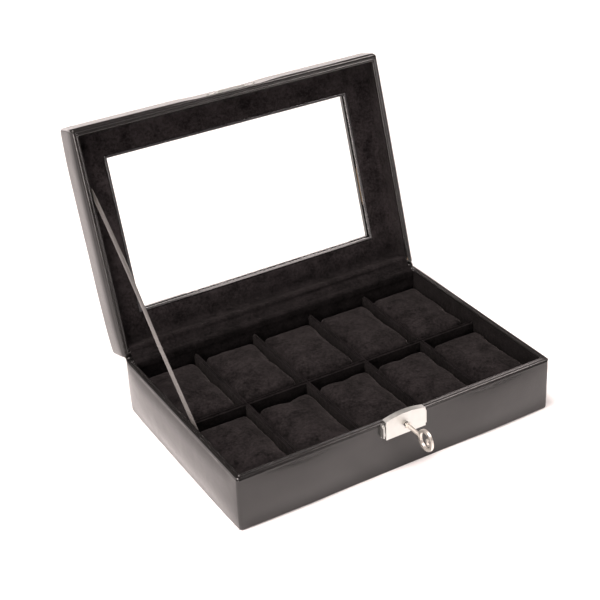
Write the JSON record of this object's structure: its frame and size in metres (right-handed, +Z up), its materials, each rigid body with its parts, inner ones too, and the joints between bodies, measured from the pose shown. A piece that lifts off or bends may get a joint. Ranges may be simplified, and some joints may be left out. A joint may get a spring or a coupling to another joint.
{
  "type": "watch box",
  "caption": "Leather-covered watch box with a glazed hinged lid, velour compartments with lift-out pillows, a ribbon lid stay and a key lock.",
  "frame": {"origin": "middle of the underside, where the box stands", "axes": "+Z up, -Y out of the front with the lock, +X to the right as seen from the front"},
  "size_m": [0.325, 0.3546, 0.2661],
  "materials": {
    "leather_black": "smooth satin, pressed grain",
    "velour_black": "short-pile velour",
    "pillow_velour": "short-pile velour over wadding",
    "felt_black": "felt",
    "board_fibre": "fibreboard",
    "foam": "foam sheet",
    "window_glass": "clear",
    "trim_gloss": "glossy",
    "ribbon_satin": "satin ribbon",
    "lock_nickel": "bright nickel plate",
    "key_nickel": "nickel-plated steel",
    "lock_zinc": "dull zinc plate",
    "spring_steel": "spring steel"
  },
  "bodies": {
    "base": {"bottom_cover": "felt_black", "bottom_panel": "board_fibre", "base_front_board": "board_fibre", "base_back_board": "board_fibre", "base_left_board": "board_fibre", "base_right_board": "board_fibre", "base_leather": "leather_black", "liner_front": "velour_black", "liner_back": "velour_black", "liner_left": "velour_black", "liner_right": "velour_black", "floor_lining": "velour_black", "long_divider": "velour_black", "cross_divider_1": "velour_black", "cross_divider_2": "velour_black", "cross_divider_3": "velour_black", "cross_divider_4": "velour_black", "hinge_leather": "leather_black", "hinge_velour": "velour_black", "lid_ribbon": "ribbon_satin", "lock_plate": "lock_nickel", "lock_body": "lock_zinc", "lock_rivets": "lock_nickel", "pivot_pins": "lock_nickel", "latch_spring": "spring_steel"},
    "lid": {"lid_front_board": "board_fibre", "lid_back_board": "board_fibre", "lid_left_board": "board_fibre", "lid_right_board": "board_fibre", "lid_top_board": "board_fibre", "lid_foam": "foam", "lid_leather": "leather_black", "lid_glass": "window_glass", "window_trim": "trim_gloss", "lid_panel_lining": "velour_black", "lid_liner_front": "velour_black", "lid_liner_back": "velour_black", "lid_liner_left": "velour_black", "lid_liner_right": "velour_black", "keeper": "lock_nickel", "keeper_rivets": "lock_nickel"},
    "latch": {"latch_cover": "lock_nickel"},
    "cam": {"lock_cam": "lock_zinc"},
    "key": {"key": "key_nickel"},
    "pillow_1": {"pillow_1": "pillow_velour"},
    "pillow_2": {"pillow_2": "pillow_velour"},
    "pillow_3": {"pillow_3": "pillow_velour"},
    "pillow_4": {"pillow_4": "pillow_velour"},
    "pillow_5": {"pillow_5": "pillow_velour"},
    "pillow_6": {"pillow_6": "pillow_velour"},
    "pillow_7": {"pillow_7": "pillow_velour"},
    "pillow_8": {"pillow_8": "pillow_velour"},
    "pillow_9": {"pillow_9": "pillow_velour"},
    "pillow_10": {"pillow_10": "pillow_velour"}
  },
  "joints": [
    {"name": "lid_hinge", "type": "hinge", "parent": "base", "child": "lid", "pos_m": [0, 0.1102, 0.0552], "axis": [-1, 0, 0], "range_deg": [-107, 0], "deforming": ["hinge_leather", "hinge_velour", "lid_ribbon"]},
    {"name": "latch_rocker", "type": "hinge", "parent": "base", "child": "latch", "pos_m": [0, -0.1118, 0.052], "axis": [1, 0, 0], "range_deg": [0, 10], "stiffness_Nm_per_rad": 0.05, "springref_deg": -10, "deforming": ["latch_spring"]},
    {"name": "key_turn", "type": "hinge", "parent": "base", "child": "cam", "pos_m": [0, -0.109, 0.049], "axis": [0, -1, 0], "range_deg": [-90, 0]},
    {"name": "key_pull", "type": "slide", "parent": "cam", "child": "key", "axis": [0, -1, 0], "range_m": [0, 0.03]},
    {"name": "pillow_1_lift", "type": "slide", "parent": "base", "child": "pillow_1", "axis": [0, 0, 1], "range_m": [0, 0.06]},
    {"name": "pillow_2_lift", "type": "slide", "parent": "base", "child": "pillow_2", "axis": [0, 0, 1], "range_m": [0, 0.06]},
    {"name": "pillow_3_lift", "type": "slide", "parent": "base", "child": "pillow_3", "axis": [0, 0, 1], "range_m": [0, 0.06]},
    {"name": "pillow_4_lift", "type": "slide", "parent": "base", "child": "pillow_4", "axis": [0, 0, 1], "range_m": [0, 0.06]},
    {"name": "pillow_5_lift", "type": "slide", "parent": "base", "child": "pillow_5", "axis": [0, 0, 1], "range_m": [0, 0.06]},
    {"name": "pillow_6_lift", "type": "slide", "parent": "base", "child": "pillow_6", "axis": [0, 0, 1], "range_m": [0, 0.06]},
    {"name": "pillow_7_lift", "type": "slide", "parent": "base", "child": "pillow_7", "axis": [0, 0, 1], "range_m": [0, 0.06]},
    {"name": "pillow_8_lift", "type": "slide", "parent": "base", "child": "pillow_8", "axis": [0, 0, 1], "range_m": [0, 0.06]},
    {"name": "pillow_9_lift", "type": "slide", "parent": "base", "child": "pillow_9", "axis": [0, 0, 1], "range_m": [0, 0.06]},
    {"name": "pillow_10_lift", "type": "slide", "parent": "base", "child": "pillow_10", "axis": [0, 0, 1], "range_m": [0, 0.06]}
  ]
}
